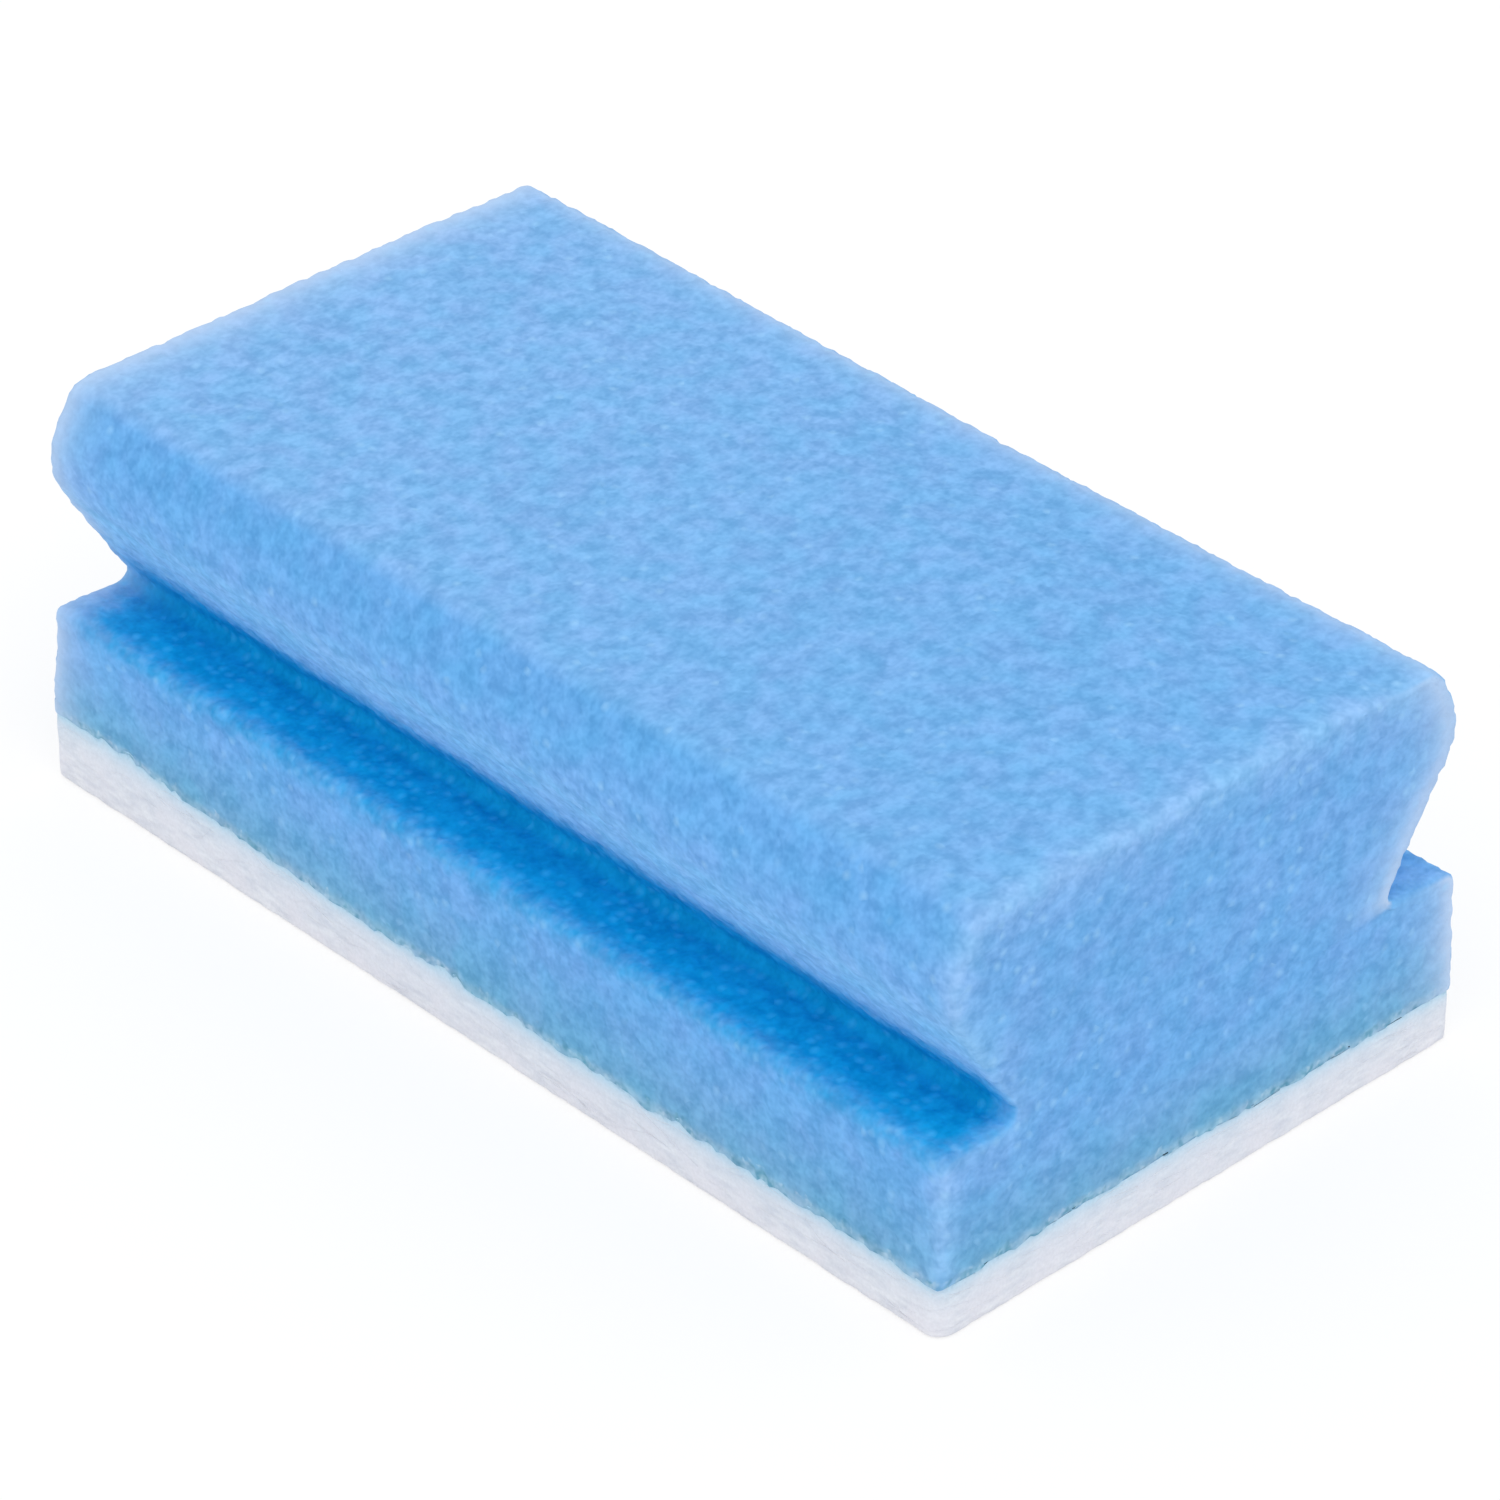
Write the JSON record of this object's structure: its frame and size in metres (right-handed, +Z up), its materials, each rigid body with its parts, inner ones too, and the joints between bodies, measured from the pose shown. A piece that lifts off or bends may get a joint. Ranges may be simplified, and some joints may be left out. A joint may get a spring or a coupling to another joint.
{
  "type": "cleaning sponge",
  "caption": "Oblong foam cleaning sponge with a finger groove along each long side, bonded to a pad of white scouring fleece.",
  "frame": {"origin": "middle of the underside of the fleece pad, on the surface that the sponge rests on", "axes": "+X along the length, away from the end where the fleece is thicker; +Y across the width; +Z up, from the fleece to the top of the head"},
  "size_m": [0.13, 0.07, 0.046],
  "materials": {
    "foam": "open-cell polyurethane foam, knife-cut, light sky blue, matt and faintly translucent",
    "fleece": "non-woven scouring fleece, off-white, matt, with loose fibres on its cut edges"
  },
  "bodies": {
    "root": {"foam_grip": "foam", "fleece_pad": "fleece"}
  },
  "joints": []
}
